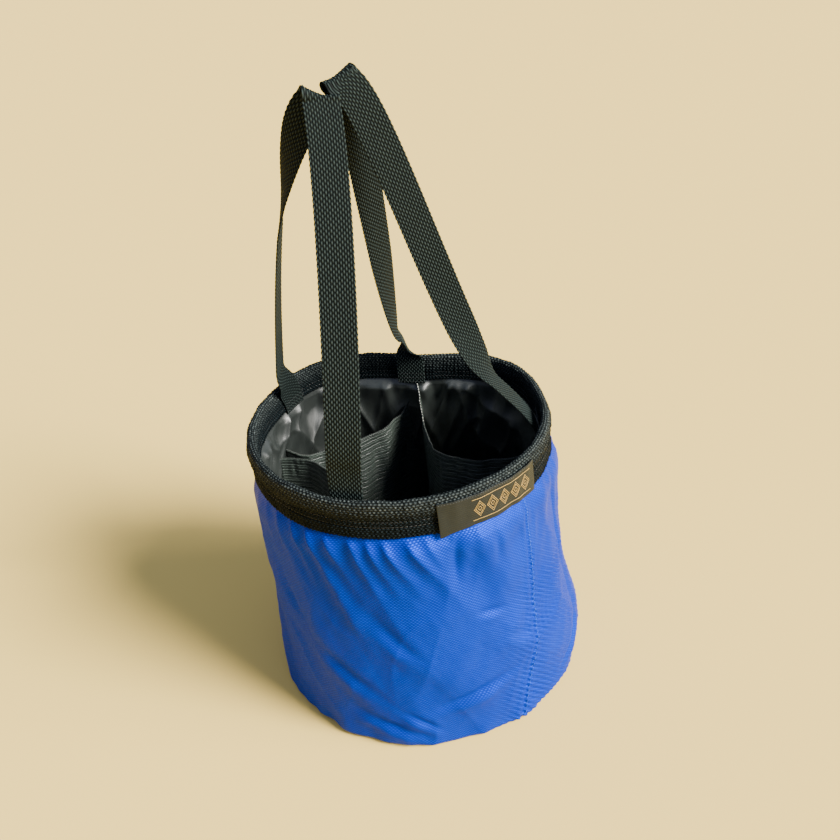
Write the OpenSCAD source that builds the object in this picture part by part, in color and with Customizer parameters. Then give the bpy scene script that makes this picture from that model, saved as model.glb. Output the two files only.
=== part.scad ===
// Small round fabric bucket bag with two webbing handles and inside pockets.
// Millimetres, +Z up, origin at the centre of the base, -Y is the front.
// The wall is a lofted tube: a round base below, a slightly flattened rim above.

/* [Body] */
// Outer radius of the wall at the base
base_r = 133; // [128:1:140]
// Outer radius of the bound rim, before its flats and corners
rim_r = 120; // [116:1:124]
// Height of the rim above the base
bag_h = 241; // [225:1:260]
// How far the rim leans left of the base centre
lean_x = -8; // [-12:1:0]
// How far the rim leans to the front of the base centre
lean_y = -3; // [-8:1:4]

/* [Cloth layers] */
// Thickness of the nylon shell and of the lining
cloth_t = 0.8; // [0.6:0.1:1.2]
// Thickness of the soft interlining between them
foam_t = 1.6; // [1:0.1:2.4]
// Thickness of the stiff board in the base
board_t = 2.5; // [1.5:0.5:4]
// Thickness of the pocket cloth
pocket_t = 0.8; // [0.6:0.1:1.2]

/* [Rim binding] */
// Height of the outer leg of the folded webbing
band_h = 30; // [24:1:34]
// Height of the inner leg
band_in_h = 24; // [18:1:28]
// Thickness of the webbing
band_t = 1.4; // [1:0.1:1.8]

/* [Handles] */
// Width of the handle webbing
strap_w = 25.4; // [20:0.1:30]
// Thickness of the handle webbing
strap_t = 1.6; // [1.2:0.1:2]
// Length of the sewn end below the rim
strap_tail = 27; // [20:1:34]
// Rim angles of the left handle's sewn ends, front then back
left_angles = [-110, 142];
// Rim angles of the right handle's sewn ends, front then back
right_angles = [-5, 82];
// Top of the left handle where it folds over
left_apex = [-37, -6, 488];
// Top of the right handle where it folds over
right_apex = [-24, 10, 496];

/* [Pockets] */
// Height of the pockets' top edge above the base
pocket_h = 181; // [150:1:195]
// Seam angles on the lining: back, left, front, right
pocket_seams = [81, 154, 245, 364];

/* [Label] */
// Height of the woven label
label_h = 26.5; // [20:0.5:28]
// Rim angles of the label's two ends
label_angles = [-79, -38];

/* [Hidden] */

ring_n = 60;             // facets round the wall
gap = 0.05;              // play between layers that lie on each other
foot_round = 4;          // how far the wall curls in under the base edge
foot_h = 6;              // height of that curl
stack_t = 2 * cloth_t + foam_t + 2 * gap;
floor_z = cloth_t + gap + board_t + gap;
band_z = bag_h - band_h;
binding_w = 2 * band_t + stack_t + 2 * gap;
stack_top = bag_h - binding_w / 2 - gap;
flex_h = 24;             // free webbing above the rim before the loop's own body
bow = 1.3;               // how far the curved rim bows away behind a flat strap
root_inset = binding_w + gap + bow + strap_t / 2;
fold_r = 4;              // radius of the fold at the top of a handle
leg_n = 20;              // pieces in each leg of a handle

// ---- small helpers -------------------------------------------------------

function mix(a, b, t) = a + (b - a) * t;
function unit(v) = v / norm(v);
function clamp01(t) = max(0, min(1, t));
function smooth(t) = let (c = clamp01(t)) c * c * (3 - 2 * c);
function wrap(a) = a - 360 * floor((a + 180) / 360);
function bump(a, at, width) = exp(-pow(wrap(a - at) / width, 2));
function bez(p, t) = pow(1 - t, 3) * p[0] + 3 * t * pow(1 - t, 2) * p[1]
    + 3 * t * t * (1 - t) * p[2] + pow(t, 3) * p[3];

// ---- the wall's shape ----------------------------------------------------

// Outline of the rim: flattened at the back, with soft corners either side
function rim_outline(a) = rim_r - 16 * bump(a, 78, 24) + 6.5 * bump(a, 128, 18)
    + 4.4 * bump(a, 33, 16);
function base_outline(a) = base_r + 3 * bump(a, -30, 22);

// Radius of the shell's outer face at angle a and height z
function wall_r(a, z) = let (
    t = clamp01(z / band_z),
    straight = mix(base_outline(a), rim_outline(a) - band_t - gap, t),
    puff = 1.8 * exp(-pow((z - band_z + 16) / 12, 2)) * (z < band_z ? 1 : 0),
    curl = foot_round * pow(1 - clamp01(z / foot_h), 2)
) straight + puff - curl;
function axis_at(z) = [lean_x, lean_y] * (z / bag_h);
function on_ring(a, r, z) = let (c = axis_at(z)) [c[0] + r * cos(a), c[1] + r * sin(a), z];
function wall_point(a, z, inset) = on_ring(a, wall_r(a, z) - inset, z);

// ---- solids from grids of points -----------------------------------------

// A tube closed round the axis. rings is a list of closed rings, outer face first and then inner
// face, and the inner half is cut along the other diagonal so that layers lie flat on each other
module ring_solid(rings) {
    n = len(rings[0]);
    m = len(rings);
    points = [for (ring = rings, p = ring) p];
    faces = [
        for (i = [0:m - 1], j = [0:n - 1]) let (
            a = i * n + j,
            b = i * n + (j + 1) % n,
            c = ((i + 1) % m) * n + (j + 1) % n,
            d = ((i + 1) % m) * n + j
        ) each i < m / 2 ? [[a, d, c], [a, c, b]] : [[a, d, b], [d, c, b]]
    ];
    polyhedron(points, faces, convexity = 6);
}

// A bar with ends. sections is a list of cross-sections, each with the same number of points
module bar_solid(sections) {
    n = len(sections[0]);
    m = len(sections);
    points = [for (s = sections, p = s) p];
    sides = [
        for (i = [0:m - 2], j = [0:n - 1]) let (
            a = i * n + j,
            b = i * n + (j + 1) % n,
            c = (i + 1) * n + (j + 1) % n,
            d = (i + 1) * n + j
        ) each [[a, d, c], [a, c, b]]
    ];
    first = [for (j = [1:n - 2]) [0, j, j + 1]];
    last = [for (j = [1:n - 2]) [(m - 1) * n, (m - 1) * n + j + 1, (m - 1) * n + j]];
    polyhedron(points, concat(sides, first, last), convexity = 6);
}

// One layer of the wall between two insets from the shell's outer face
module wall_layer(heights, inset_out, inset_in) {
    outer = [for (z = heights) [for (j = [0:ring_n - 1]) wall_point(j * 360 / ring_n, z, inset_out)]];
    inner = [for (k = [len(heights) - 1:-1:0])
        [for (j = [0:ring_n - 1]) wall_point(j * 360 / ring_n, heights[k], inset_in)]];
    ring_solid(concat(outer, inner));
}

// ---- base ----------------------------------------------------------------

module disc(r, z, t) {
    translate([0, 0, z]) cylinder(h = t, r = r, $fn = 96);
}

module base_panel() {
    color("royalblue") disc(base_r - foot_round - cloth_t - 0.6, 0, cloth_t);
}

module base_board() {
    color("dimgray") disc(base_r - 6.5, cloth_t + gap, board_t);
}

module floor_lining() {
    color("#1c1c20") disc(base_r - stack_t - 2.6, floor_z, cloth_t);
}

// ---- wall ----------------------------------------------------------------

// Heights of the rings that the shell and the layers behind it share
wall_heights = [floor_z, 6, 40, 90, 140, 180, 190, 200, 206, band_z, stack_top];

module shell_wall() {
    color("royalblue") wall_layer(concat([0, 1.5], wall_heights), 0, cloth_t);
}

module wall_interlining() {
    color("gainsboro") wall_layer(wall_heights, cloth_t + gap, cloth_t + gap + foam_t);
}

module lining_wall() {
    color("#1c1c20") wall_layer(wall_heights, stack_t - cloth_t, stack_t);
}

// Webbing folded over the rim: outer leg, rolled top, inner leg
module rim_binding() {
    mid = binding_w / 2;
    roll_z = bag_h - mid;
    arc = [for (k = [0:5]) 180 * k / 5];
    outer = concat([[0, band_z]], [for (w = arc) [mid - mid * cos(w), roll_z + mid * sin(w)]],
        [[binding_w, bag_h - band_in_h]]);
    in_r = mid - band_t;
    inner = concat([[binding_w - band_t, bag_h - band_in_h]],
        [for (k = [5:-1:0]) [mid - in_r * cos(arc[k]), roll_z + 1.1 * in_r * sin(arc[k])]],
        [[band_t, band_z]]);
    section = concat(outer, inner);
    color("#26282a") ring_solid([for (s = section)
        [for (j = [0:ring_n - 1]) let (a = j * 360 / ring_n)
            on_ring(a, rim_outline(a) - s[0], s[1])]]);
}

// ---- pockets -------------------------------------------------------------

// Inner face of the lining, a little clear of it
function lining_point(a, z) = wall_point(a, z, stack_t + 0.6);

// Plan curve of a pocket panel at height z: it leaves the lining at one seam and meets it
// again at the next, with two hand-set points that say how full the pocket stands
function pocket_curve(seam_a, seam_b, full_a, full_b, z) = let (
    a = lining_point(seam_a, z),
    b = lining_point(seam_b, z),
    spread = 1 + 0.1 * (1 - z / pocket_h)
) [a, [full_a[0] * spread, full_a[1] * spread, z], [full_b[0] * spread, full_b[1] * spread, z], b];

module pocket(seam_a, seam_b, full_a, full_b) {
    steps = 14;
    heights = [floor_z + cloth_t + 0.4, 60, 120, pocket_h];
    function at(z, k) = bez(pocket_curve(seam_a, seam_b, full_a, full_b, z), k / steps);
    function side(z, k) = let (
        d = at(z, min(steps, k + 1)) - at(z, max(0, k - 1))
    ) unit([-d[1], d[0], 0]) * pocket_t / 2;
    bar_solid([for (k = [0:steps]) concat(
        [for (z = heights) at(z, k) + side(z, k)],
        [for (i = [len(heights) - 1:-1:0]) at(heights[i], k) - side(heights[i], k)]
    )]);
}

module pocket_back_left() {
    color("#202226") pocket(pocket_seams[0] + 1.2, pocket_seams[1] - 1, [-24, 88], [-72, 16]);
}

module pocket_front_left() {
    color("#202226") pocket(pocket_seams[1] + 6, pocket_seams[2] - 1, [-68, 52], [-54, -34]);
}

module pocket_front() {
    color("#202226") pocket(pocket_seams[2] + 1, pocket_seams[3] - 1.5, [-26, -62], [60, -56]);
}

module pocket_right() {
    color("#202226") pocket(pocket_seams[3] + 1.5, pocket_seams[0] + 360 - 1.2, [30, -4], [2, 30]);
}

// ---- handles -------------------------------------------------------------

// Where a handle's end leaves the rim, at height z
function root_point(a, z) = let (c = axis_at(bag_h), r = rim_outline(a) - root_inset)
    [c[0] + r * cos(a), c[1] + r * sin(a), z];
// The rim's own direction at angle a, which the sewn webbing follows
function rim_along(a) = unit(root_point(a + 2, 0) - root_point(a - 2, 0));

// A flat strap along points, with the direction of its width at each point
module strap(points, widths) {
    n = len(points);
    function along(i) = unit(points[min(n - 1, i + 1)] - points[max(0, i - 1)]);
    function section(i) = let (
        w = unit(widths[i]),
        side = w * strap_w / 2,
        face = unit(cross(w, along(i))) * strap_t / 2
    ) [points[i] - side - face, points[i] + side - face, points[i] + side + face, points[i] - side + face];
    bar_solid([for (i = [0:n - 1]) section(i)]);
}

// Each leg's route: where its loop starts above the rim, then two points that bend it. A handle
// turns about the line through its two starts, 10 mm below them
left_front_route = [[-45, -106, bag_h + flex_h], [-41, -114, 302], [-31, -36, 434]];
left_back_route = [[-103, 49, bag_h + flex_h], [-96, 51, 323], [-70, -12, 469]];
right_front_route = [[70, -6, bag_h + flex_h], [42, 4, 296], [-2, 9, 486]];
right_back_route = [[-2, 89, bag_h + flex_h], [-10, 88, 276], [-11, 8, 486]];

// Compass angle of the rim at angle a, which the sewn webbing follows
function rim_compass(a) = let (d = rim_along(a)) atan2(d[1], d[0]);

// Keys along each leg: share of the way up, compass angle of the width, its tilt
left_front_keys = [[0, -14, 0], [0.3, -10, -4], [0.8, -4, -16], [1, 0, -26]];
left_back_keys = [[0, -98, 0], [0.25, -95, 0], [0.5, -92, 0], [0.6, -80, -3], [0.75, -48, -10],
    [0.88, -18, -20], [1, 0, -26]];
right_front_keys = [[0, 84, 0], [0.06, 70, 4], [0.13, 48, 12], [0.25, 24, 22], [0.4, 16, 26],
    [0.8, 20, 28], [1, 32, 25]];
right_back_keys = [[0, 97, 0], [0.1, 81, 3], [0.2, 71, 6], [0.3, 59, 11], [0.4, 46, 16],
    [0.6, 32, 22], [1, 32, 25]];

// Width direction at t along a leg, looked up from its keys
function width_dir(keys, t) = let (
    a = lookup(t, [for (k = keys) [k[0], k[1]]]),
    tilt = lookup(t, [for (k = keys) [k[0], k[2]]])
) [cos(a) * cos(tilt), sin(a) * cos(tilt), sin(tilt)];

// The sewn end inside the rim and the free webbing that flexes above it
module handle_root(a, route, keys) {
    steps = 8;
    low = root_point(a, bag_h - strap_tail);
    up = unit(route[1] - route[0]);
    path = [low, root_point(a, bag_h - 8), route[0] - up * 14, route[0] - up * 0.2];
    first = rim_compass(a);
    function width_at(t) = let (c = mix(first, keys[0][1], smooth((t - 0.45) / 0.3)))
        [cos(c), sin(c), sin(keys[0][2]) * t];
    color("#2b2d2f") strap([for (k = [0:steps]) bez(path, k / steps)],
        [for (k = [0:steps]) width_at(k / steps)]);
}

// A whole loop: front leg up, a small round fold, back leg down
module loop(apex, front_route, back_route, front_keys, back_keys) {
    flat = back_route[0] - front_route[0];
    toward = unit([flat[0], flat[1], 0]);
    low = [0, 0, -fold_r];
    front_path = concat(front_route, [apex - fold_r * toward + low]);
    back_path = concat(back_route, [apex + fold_r * toward + low]);
    front = [for (k = [0:leg_n]) bez(front_path, k / leg_n)];
    back = [for (k = [leg_n:-1:0]) bez(back_path, k / leg_n)];
    fold = [for (w = [150:-30:30])
        apex + toward * fold_r * cos(w) + [0, 0, fold_r * sin(w) - fold_r]];
    front_w = [for (k = [0:leg_n]) width_dir(front_keys, k / leg_n)];
    back_w = [for (k = [leg_n:-1:0]) width_dir(back_keys, k / leg_n)];
    fold_w = [for (w = [150:-30:30]) mix(front_w[leg_n], back_w[0], (150 - w) / 120)];
    strap(concat(front, fold, back), concat(front_w, fold_w, back_w));
}

module handle_left_root_front() {
    handle_root(left_angles[0], left_front_route, left_front_keys);
}

module handle_left_root_back() {
    handle_root(left_angles[1], left_back_route, left_back_keys);
}

module handle_right_root_front() {
    handle_root(right_angles[0], right_front_route, right_front_keys);
}

module handle_right_root_back() {
    handle_root(right_angles[1], right_back_route, right_back_keys);
}

module handle_left_loop() {
    color("#2b2d2f") loop(left_apex, left_front_route, left_back_route, left_front_keys, left_back_keys);
}

module handle_right_loop() {
    color("#2b2d2f") loop(right_apex, right_front_route, right_back_route, right_front_keys, right_back_keys);
}

// ---- label ---------------------------------------------------------------

module label() {
    steps = 12;
    thick = 0.5;
    low = band_z - 0.5;
    color("#101012") bar_solid([for (k = [0:steps]) let (
        a = mix(label_angles[0], label_angles[1], k / steps),
        r = rim_outline(a) + gap
    ) [on_label(a, r, low), on_label(a, r + thick, low),
       on_label(a, r + thick, low + label_h), on_label(a, r, low + label_h)]]);
}
function on_label(a, r, z) = on_ring(a, r, z);

base_panel();
base_board();
floor_lining();
shell_wall();
wall_interlining();
lining_wall();
rim_binding();
pocket_back_left();
pocket_front_left();
pocket_front();
pocket_right();
handle_left_root_front();
handle_left_root_back();
handle_right_root_front();
handle_right_root_back();
handle_left_loop();
handle_right_loop();
label();
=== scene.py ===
"""The looks of a round fabric bucket bag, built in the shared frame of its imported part.

Everything is in metres, with the origin at the centre of the base, +Z up and -Y to the front.
Angles round the bag are in degrees, with 0 to the right and -90 at the front.
"""

import logging
import math
from dataclasses import dataclass
from enum import Enum
from typing import Optional, Sequence

import bpy
import numpy as np
from mathutils import Matrix, Vector


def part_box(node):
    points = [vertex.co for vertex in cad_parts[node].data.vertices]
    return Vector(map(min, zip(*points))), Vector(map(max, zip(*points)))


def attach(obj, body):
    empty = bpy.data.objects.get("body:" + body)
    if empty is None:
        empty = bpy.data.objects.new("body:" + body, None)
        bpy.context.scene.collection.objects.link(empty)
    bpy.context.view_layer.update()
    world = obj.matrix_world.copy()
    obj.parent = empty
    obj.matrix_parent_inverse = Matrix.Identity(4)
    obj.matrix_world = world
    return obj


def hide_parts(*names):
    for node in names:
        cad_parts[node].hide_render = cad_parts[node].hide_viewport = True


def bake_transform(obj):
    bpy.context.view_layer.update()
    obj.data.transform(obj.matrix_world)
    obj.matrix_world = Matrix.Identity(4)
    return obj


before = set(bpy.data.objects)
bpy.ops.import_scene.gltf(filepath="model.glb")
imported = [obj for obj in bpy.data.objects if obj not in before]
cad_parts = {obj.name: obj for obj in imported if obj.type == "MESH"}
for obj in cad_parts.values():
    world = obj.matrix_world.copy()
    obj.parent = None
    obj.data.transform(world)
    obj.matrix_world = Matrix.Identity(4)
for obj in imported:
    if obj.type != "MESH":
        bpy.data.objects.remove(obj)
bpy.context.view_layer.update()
LOG = logging.getLogger("bucket_bag")
UV_NAME = "UVMap"
MM = 0.001


# ---- small helpers -------------------------------------------------------------------------------


def smooth(t: np.ndarray) -> np.ndarray:
    """The soft step from 0 to 1."""
    c = np.clip(t, 0.0, 1.0)
    return c * c * (3.0 - 2.0 * c)


def wrap(deg: np.ndarray) -> np.ndarray:
    """Angles brought between -180 and 180 degrees."""
    return deg - 360.0 * np.floor((deg + 180.0) / 360.0)


def bump(deg: np.ndarray, at: float, width: float) -> np.ndarray:
    """A round rise of 1 at one angle, fading over width degrees."""
    return np.exp(-((wrap(deg - at) / width) ** 2))


def unit(v: np.ndarray) -> np.ndarray:
    """Vectors of length 1, along the last axis."""
    return v / np.maximum(np.linalg.norm(v, axis=-1, keepdims=True), 1e-12)


def bezier(p: Sequence[np.ndarray], t: np.ndarray) -> np.ndarray:
    """Points on a cubic curve.

    Args:
        p: The four control points.
        t: Shares of the way, from 0 to 1.

    Returns:
        One point for each t.
    """
    a, b, c, d = (np.asarray(x, float) for x in p)
    t = t[:, None]
    return (1 - t) ** 3 * a + 3 * t * (1 - t) ** 2 * b + 3 * t * t * (1 - t) * c + t**3 * d


def run_length(points: np.ndarray) -> np.ndarray:
    """How far along a line each of its points is."""
    steps = np.linalg.norm(np.diff(points, axis=0), axis=1)
    return np.concatenate([[0.0], np.cumsum(steps)])


def soften(values: np.ndarray, reach: int) -> np.ndarray:
    """Rows averaged with their neighbours, with a bell weight of reach rows either side."""
    if reach < 1:
        return values
    weights = np.exp(-np.linspace(-2, 2, 2 * reach + 1) ** 2)
    weights /= weights.sum()
    padded = np.concatenate([np.repeat(values[:1], reach, 0), values, np.repeat(values[-1:], reach, 0)])
    return np.stack([np.convolve(padded[:, k], weights, "valid") for k in range(values.shape[1])], axis=1)


class RingNoise:
    """Smooth random values round the bag, the same on every run."""

    def __init__(self, seed: int) -> None:
        """Starts the row of draws at a fixed seed."""
        self.rng = np.random.default_rng(seed)

    def at(self, deg: np.ndarray, z: np.ndarray, around: int, tall: float) -> np.ndarray:
        """Values between -1 and 1.

        Args:
            deg: Angles round the bag.
            z: Heights, of the same shape.
            around: How many cells go round the bag.
            tall: The height of a cell.

        Returns:
            A value for each place.
        """
        rows = 64
        grid = self.rng.uniform(-1, 1, (rows, around))
        u, v = deg / 360.0 * around, z / tall + 8.0
        i, j = np.floor(u).astype(int), np.floor(v).astype(int)
        fu, fv = smooth(u - i), smooth(v - j)
        low = grid[j % rows, i % around] * (1 - fu) + grid[j % rows, (i + 1) % around] * fu
        high = grid[(j + 1) % rows, i % around] * (1 - fu) + grid[(j + 1) % rows, (i + 1) % around] * fu
        return low * (1 - fv) + high * fv


def ridge(values: np.ndarray, sharpness: float) -> np.ndarray:
    """Thin crests where random values cross zero, as in crumpled cloth."""
    return (1.0 - np.abs(values)) ** sharpness


# ---- meshes --------------------------------------------------------------------------------------


def new_object(
    name: str, verts: np.ndarray, faces: np.ndarray, uvs: Optional[np.ndarray] = None
) -> bpy.types.Object:
    """Makes a mesh object of faces with the same number of corners.

    Args:
        name: The object's name.
        verts: Points, one row each.
        faces: Corner numbers, one row for each face.
        uvs: A texture place for each corner, in metres of cloth.

    Returns:
        The new object, linked to the scene, with smooth shading.
    """
    mesh = bpy.data.meshes.new(name)
    corners = faces.shape[1]
    mesh.vertices.add(len(verts))
    mesh.vertices.foreach_set("co", verts.astype(np.float32).ravel())
    mesh.loops.add(faces.size)
    mesh.loops.foreach_set("vertex_index", faces.astype(np.int32).ravel())
    mesh.polygons.add(len(faces))
    mesh.polygons.foreach_set("loop_start", np.arange(0, faces.size, corners, dtype=np.int32))
    mesh.update(calc_edges=True)
    if uvs is not None:
        mesh.uv_layers.new(name=UV_NAME).data.foreach_set("uv", uvs.astype(np.float32).ravel())
    mesh.polygons.foreach_set("use_smooth", np.ones(len(faces), bool))
    mesh.validate()
    obj = bpy.data.objects.new(name, mesh)
    bpy.context.scene.collection.objects.link(obj)
    return obj


def sweep(name: str, sections: np.ndarray, closed: bool) -> bpy.types.Object:
    """Joins a row of closed cross-sections into one solid with its faces outwards.

    Args:
        name: The object's name.
        sections: Points by station, then round the section, then x, y and z.
        closed: True if the last station meets the first, else both ends are capped.

    Returns:
        The solid, with u along the stations and v round the section, in metres.
    """
    stations, around = sections.shape[:2]
    verts = sections.reshape(-1, 3)
    index = np.arange(stations * around).reshape(stations, around)
    after = np.roll(index, -1, axis=0) if closed else index[1:]
    here = index if closed else index[:-1]
    a, b = here, np.roll(here, -1, axis=1)
    c, d = np.roll(after, -1, axis=1), after
    faces = np.stack([a, d, c, b], axis=-1).reshape(-1, 4)
    middle = sections.mean(axis=1)
    along = run_length(np.concatenate([middle, middle[:1]]) if closed else middle)
    loop = sections[stations // 2]
    across = run_length(np.concatenate([loop, loop[:1]]))
    u0, v0 = np.broadcast_arrays(along[: len(here)][:, None], across[:-1][None, :])
    u1, v1 = np.broadcast_arrays(along[1 : len(here) + 1][:, None], across[1:][None, :])
    corners = [np.stack(pair, -1) for pair in ((u0, v0), (u1, v0), (u1, v1), (u0, v1))]
    uvs = np.stack(corners, axis=2).reshape(-1, 2)
    if not closed:
        near = np.arange(around // 2 - 1)
        far = around - 1 - near
        start, end = index[0], index[-1]
        first = np.stack([start[near], start[near + 1], start[far - 1], start[far]], -1)
        last = np.stack([end[near], end[far], end[far - 1], end[near + 1]], -1)
        faces = np.concatenate([faces, first, last])
        uvs = np.concatenate([uvs, np.zeros((4 * len(first) + 4 * len(last), 2))])
    centre = verts.mean(axis=0)
    p = verts[faces] - centre
    volume = np.einsum("ij,ij->i", p[:, 0], np.cross(p[:, 1], p[:, 2]) + np.cross(p[:, 2], p[:, 3])).sum()
    if volume < 0:
        faces = faces[:, ::-1]
        uvs = uvs.reshape(-1, 4, 2)[:, ::-1].reshape(-1, 2)
    return new_object(name, verts, faces, uvs)


# ---- node trees ----------------------------------------------------------------------------------


class NodeSheet:
    """A short way to fill one node tree."""

    def __init__(self, tree: bpy.types.NodeTree) -> None:
        """Takes the tree that the nodes go into."""
        self.tree = tree

    def add(self, kind: str, inputs: Optional[dict] = None, **settings: object) -> bpy.types.Node:
        """Adds a node.

        Args:
            kind: The node's type.
            inputs: Values or sockets for its inputs, by name or by number.
            settings: Values for the node's own properties.

        Returns:
            The new node.
        """
        node = self.tree.nodes.new(kind)
        for name, value in settings.items():
            setattr(node, name, value)
        for name, value in (inputs or {}).items():
            socket = node.inputs[name]
            if isinstance(value, bpy.types.NodeSocket):
                self.tree.links.new(value, socket)
            else:
                socket.default_value = value
        return node

    def math(self, operation: str, *values: object) -> bpy.types.NodeSocket:
        """The result of a Math node."""
        return self.add("ShaderNodeMath", dict(enumerate(values)), operation=operation).outputs[0]

    def mix(self, share: object, first: object, second: object) -> bpy.types.NodeSocket:
        """The colour between two, at share of the way."""
        node = self.add("ShaderNodeMix", {0: share, 6: first, 7: second}, data_type="RGBA")
        return node.outputs[2]

    def between(self, value: object, low: float, high: float) -> bpy.types.NodeSocket:
        """A value from 0 to 1 brought between low and high."""
        return self.add("ShaderNodeMapRange", {"Value": value, "To Min": low, "To Max": high}).outputs[0]


def shader_group(
    name: str, inputs: dict[str, str], outputs: dict[str, str]
) -> tuple[NodeSheet, dict, bpy.types.Node]:
    """Starts a shader node group.

    Args:
        name: The group's name.
        inputs: Socket types by input name.
        outputs: Socket types by output name.

    Returns:
        The sheet to fill, the group's inputs by name, and its output node.
    """
    tree = bpy.data.node_groups.new(name, "ShaderNodeTree")
    for label, kind in inputs.items():
        tree.interface.new_socket(label, in_out="INPUT", socket_type=kind)
    for label, kind in outputs.items():
        tree.interface.new_socket(label, in_out="OUTPUT", socket_type=kind)
    sheet = NodeSheet(tree)
    given = sheet.add("NodeGroupInput")
    return sheet, {label: given.outputs[label] for label in inputs}, sheet.add("NodeGroupOutput")


def weave_group() -> bpy.types.NodeTree:
    """The shared group for woven yarns: a height from 0 in the pits to 1 on the crowns."""
    found = bpy.data.node_groups.get("Woven yarns")
    if found:
        return found
    number = "NodeSocketFloat"
    sheet, given, out = shader_group(
        "Woven yarns",
        {"Vector": "NodeSocketVector", "Yarn Pitch": number, "Row Pitch": number, "Depth": number},
        {"Height": number},
    )
    place = sheet.add("ShaderNodeSeparateXYZ", {0: given["Vector"]})
    row = sheet.math("DIVIDE", place.outputs[0], given["Row Pitch"])
    yarn = sheet.math("DIVIDE", place.outputs[1], given["Yarn Pitch"])
    odd = sheet.math("MODULO", sheet.math("FLOOR", yarn), 2.0)
    side = sheet.math("MULTIPLY_ADD", sheet.math("FRACT", yarn), 2.0, -1.0)
    rib = sheet.math("SUBTRACT", 1.0, sheet.math("MULTIPLY", side, side))
    turn = sheet.math("MULTIPLY", sheet.math("ADD", row, odd), math.pi)
    crown = sheet.math("MULTIPLY_ADD", sheet.math("COSINE", turn), 0.5, 0.5)
    below = sheet.math("MULTIPLY", given["Depth"], sheet.math("SUBTRACT", 1.0, crown))
    sunk = sheet.math("SUBTRACT", 1.0, below)
    sheet.tree.links.new(sheet.math("MULTIPLY", rib, sunk), out.inputs["Height"])
    return sheet.tree


def tone_group() -> bpy.types.NodeTree:
    """The shared group for uneven dye and painted highlights: a colour that drifts over the cloth, and a
    value for its gloss.
    """
    found = bpy.data.node_groups.get("Uneven cloth")
    if found:
        return found
    number = "NodeSocketFloat"
    sheet, given, out = shader_group(
        "Uneven cloth",
        {"Color": "NodeSocketColor", "Pale": "NodeSocketColor", "Scale": number, "Amount": number},
        {"Color": "NodeSocketColor", "Patch": number},
    )
    place = sheet.add("ShaderNodeTexCoord").outputs["Object"]
    broad = sheet.add(
        "ShaderNodeTexNoise", {"Vector": place, "Scale": given["Scale"], "Detail": 5.0, "Roughness": 0.6}
    )
    fine = sheet.add("ShaderNodeTexNoise", {"Vector": place, "Scale": 900.0, "Detail": 2.0})
    both = sheet.math("MULTIPLY_ADD", fine.outputs[0], 0.35, sheet.math("MULTIPLY", broad.outputs[0], 0.65))
    spread = sheet.add("ShaderNodeMapRange", {"Value": both, "From Min": 0.35, "From Max": 0.65})
    share = sheet.math("MULTIPLY", spread.outputs[0], given["Amount"])
    sheet.tree.links.new(sheet.mix(share, given["Color"], given["Pale"]), out.inputs["Color"])
    sheet.tree.links.new(spread.outputs[0], out.inputs["Patch"])
    return sheet.tree


Colour = tuple[float, float, float]


def rgba(colour: Colour) -> tuple[float, float, float, float]:
    """The colour with full cover."""
    return (*colour, 1.0)


def new_material(name: str, colour: Colour) -> tuple[bpy.types.Material, NodeSheet, bpy.types.Node]:
    """Starts a material.

    Args:
        name: Its name.
        colour: Its colour in a plain viewport.

    Returns:
        The material, the sheet to fill, and its surface shader.
    """
    material = bpy.data.materials.new(name)
    material.use_nodes = True
    material.diffuse_color = rgba(colour)
    return material, NodeSheet(material.node_tree), material.node_tree.nodes["Principled BSDF"]


@dataclass(frozen=True)
class Weave:
    """How a cloth is woven.

    Attributes:
        yarn: Width of a yarn column.
        row: Height of a weave row.
        depth: How far a yarn sinks between its crowns, from 0 to 1.
        relief: Height of the relief that the finish adds.
        strength: Strength of that relief.
    """

    yarn: float
    row: float
    depth: float
    relief: float
    strength: float


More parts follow.
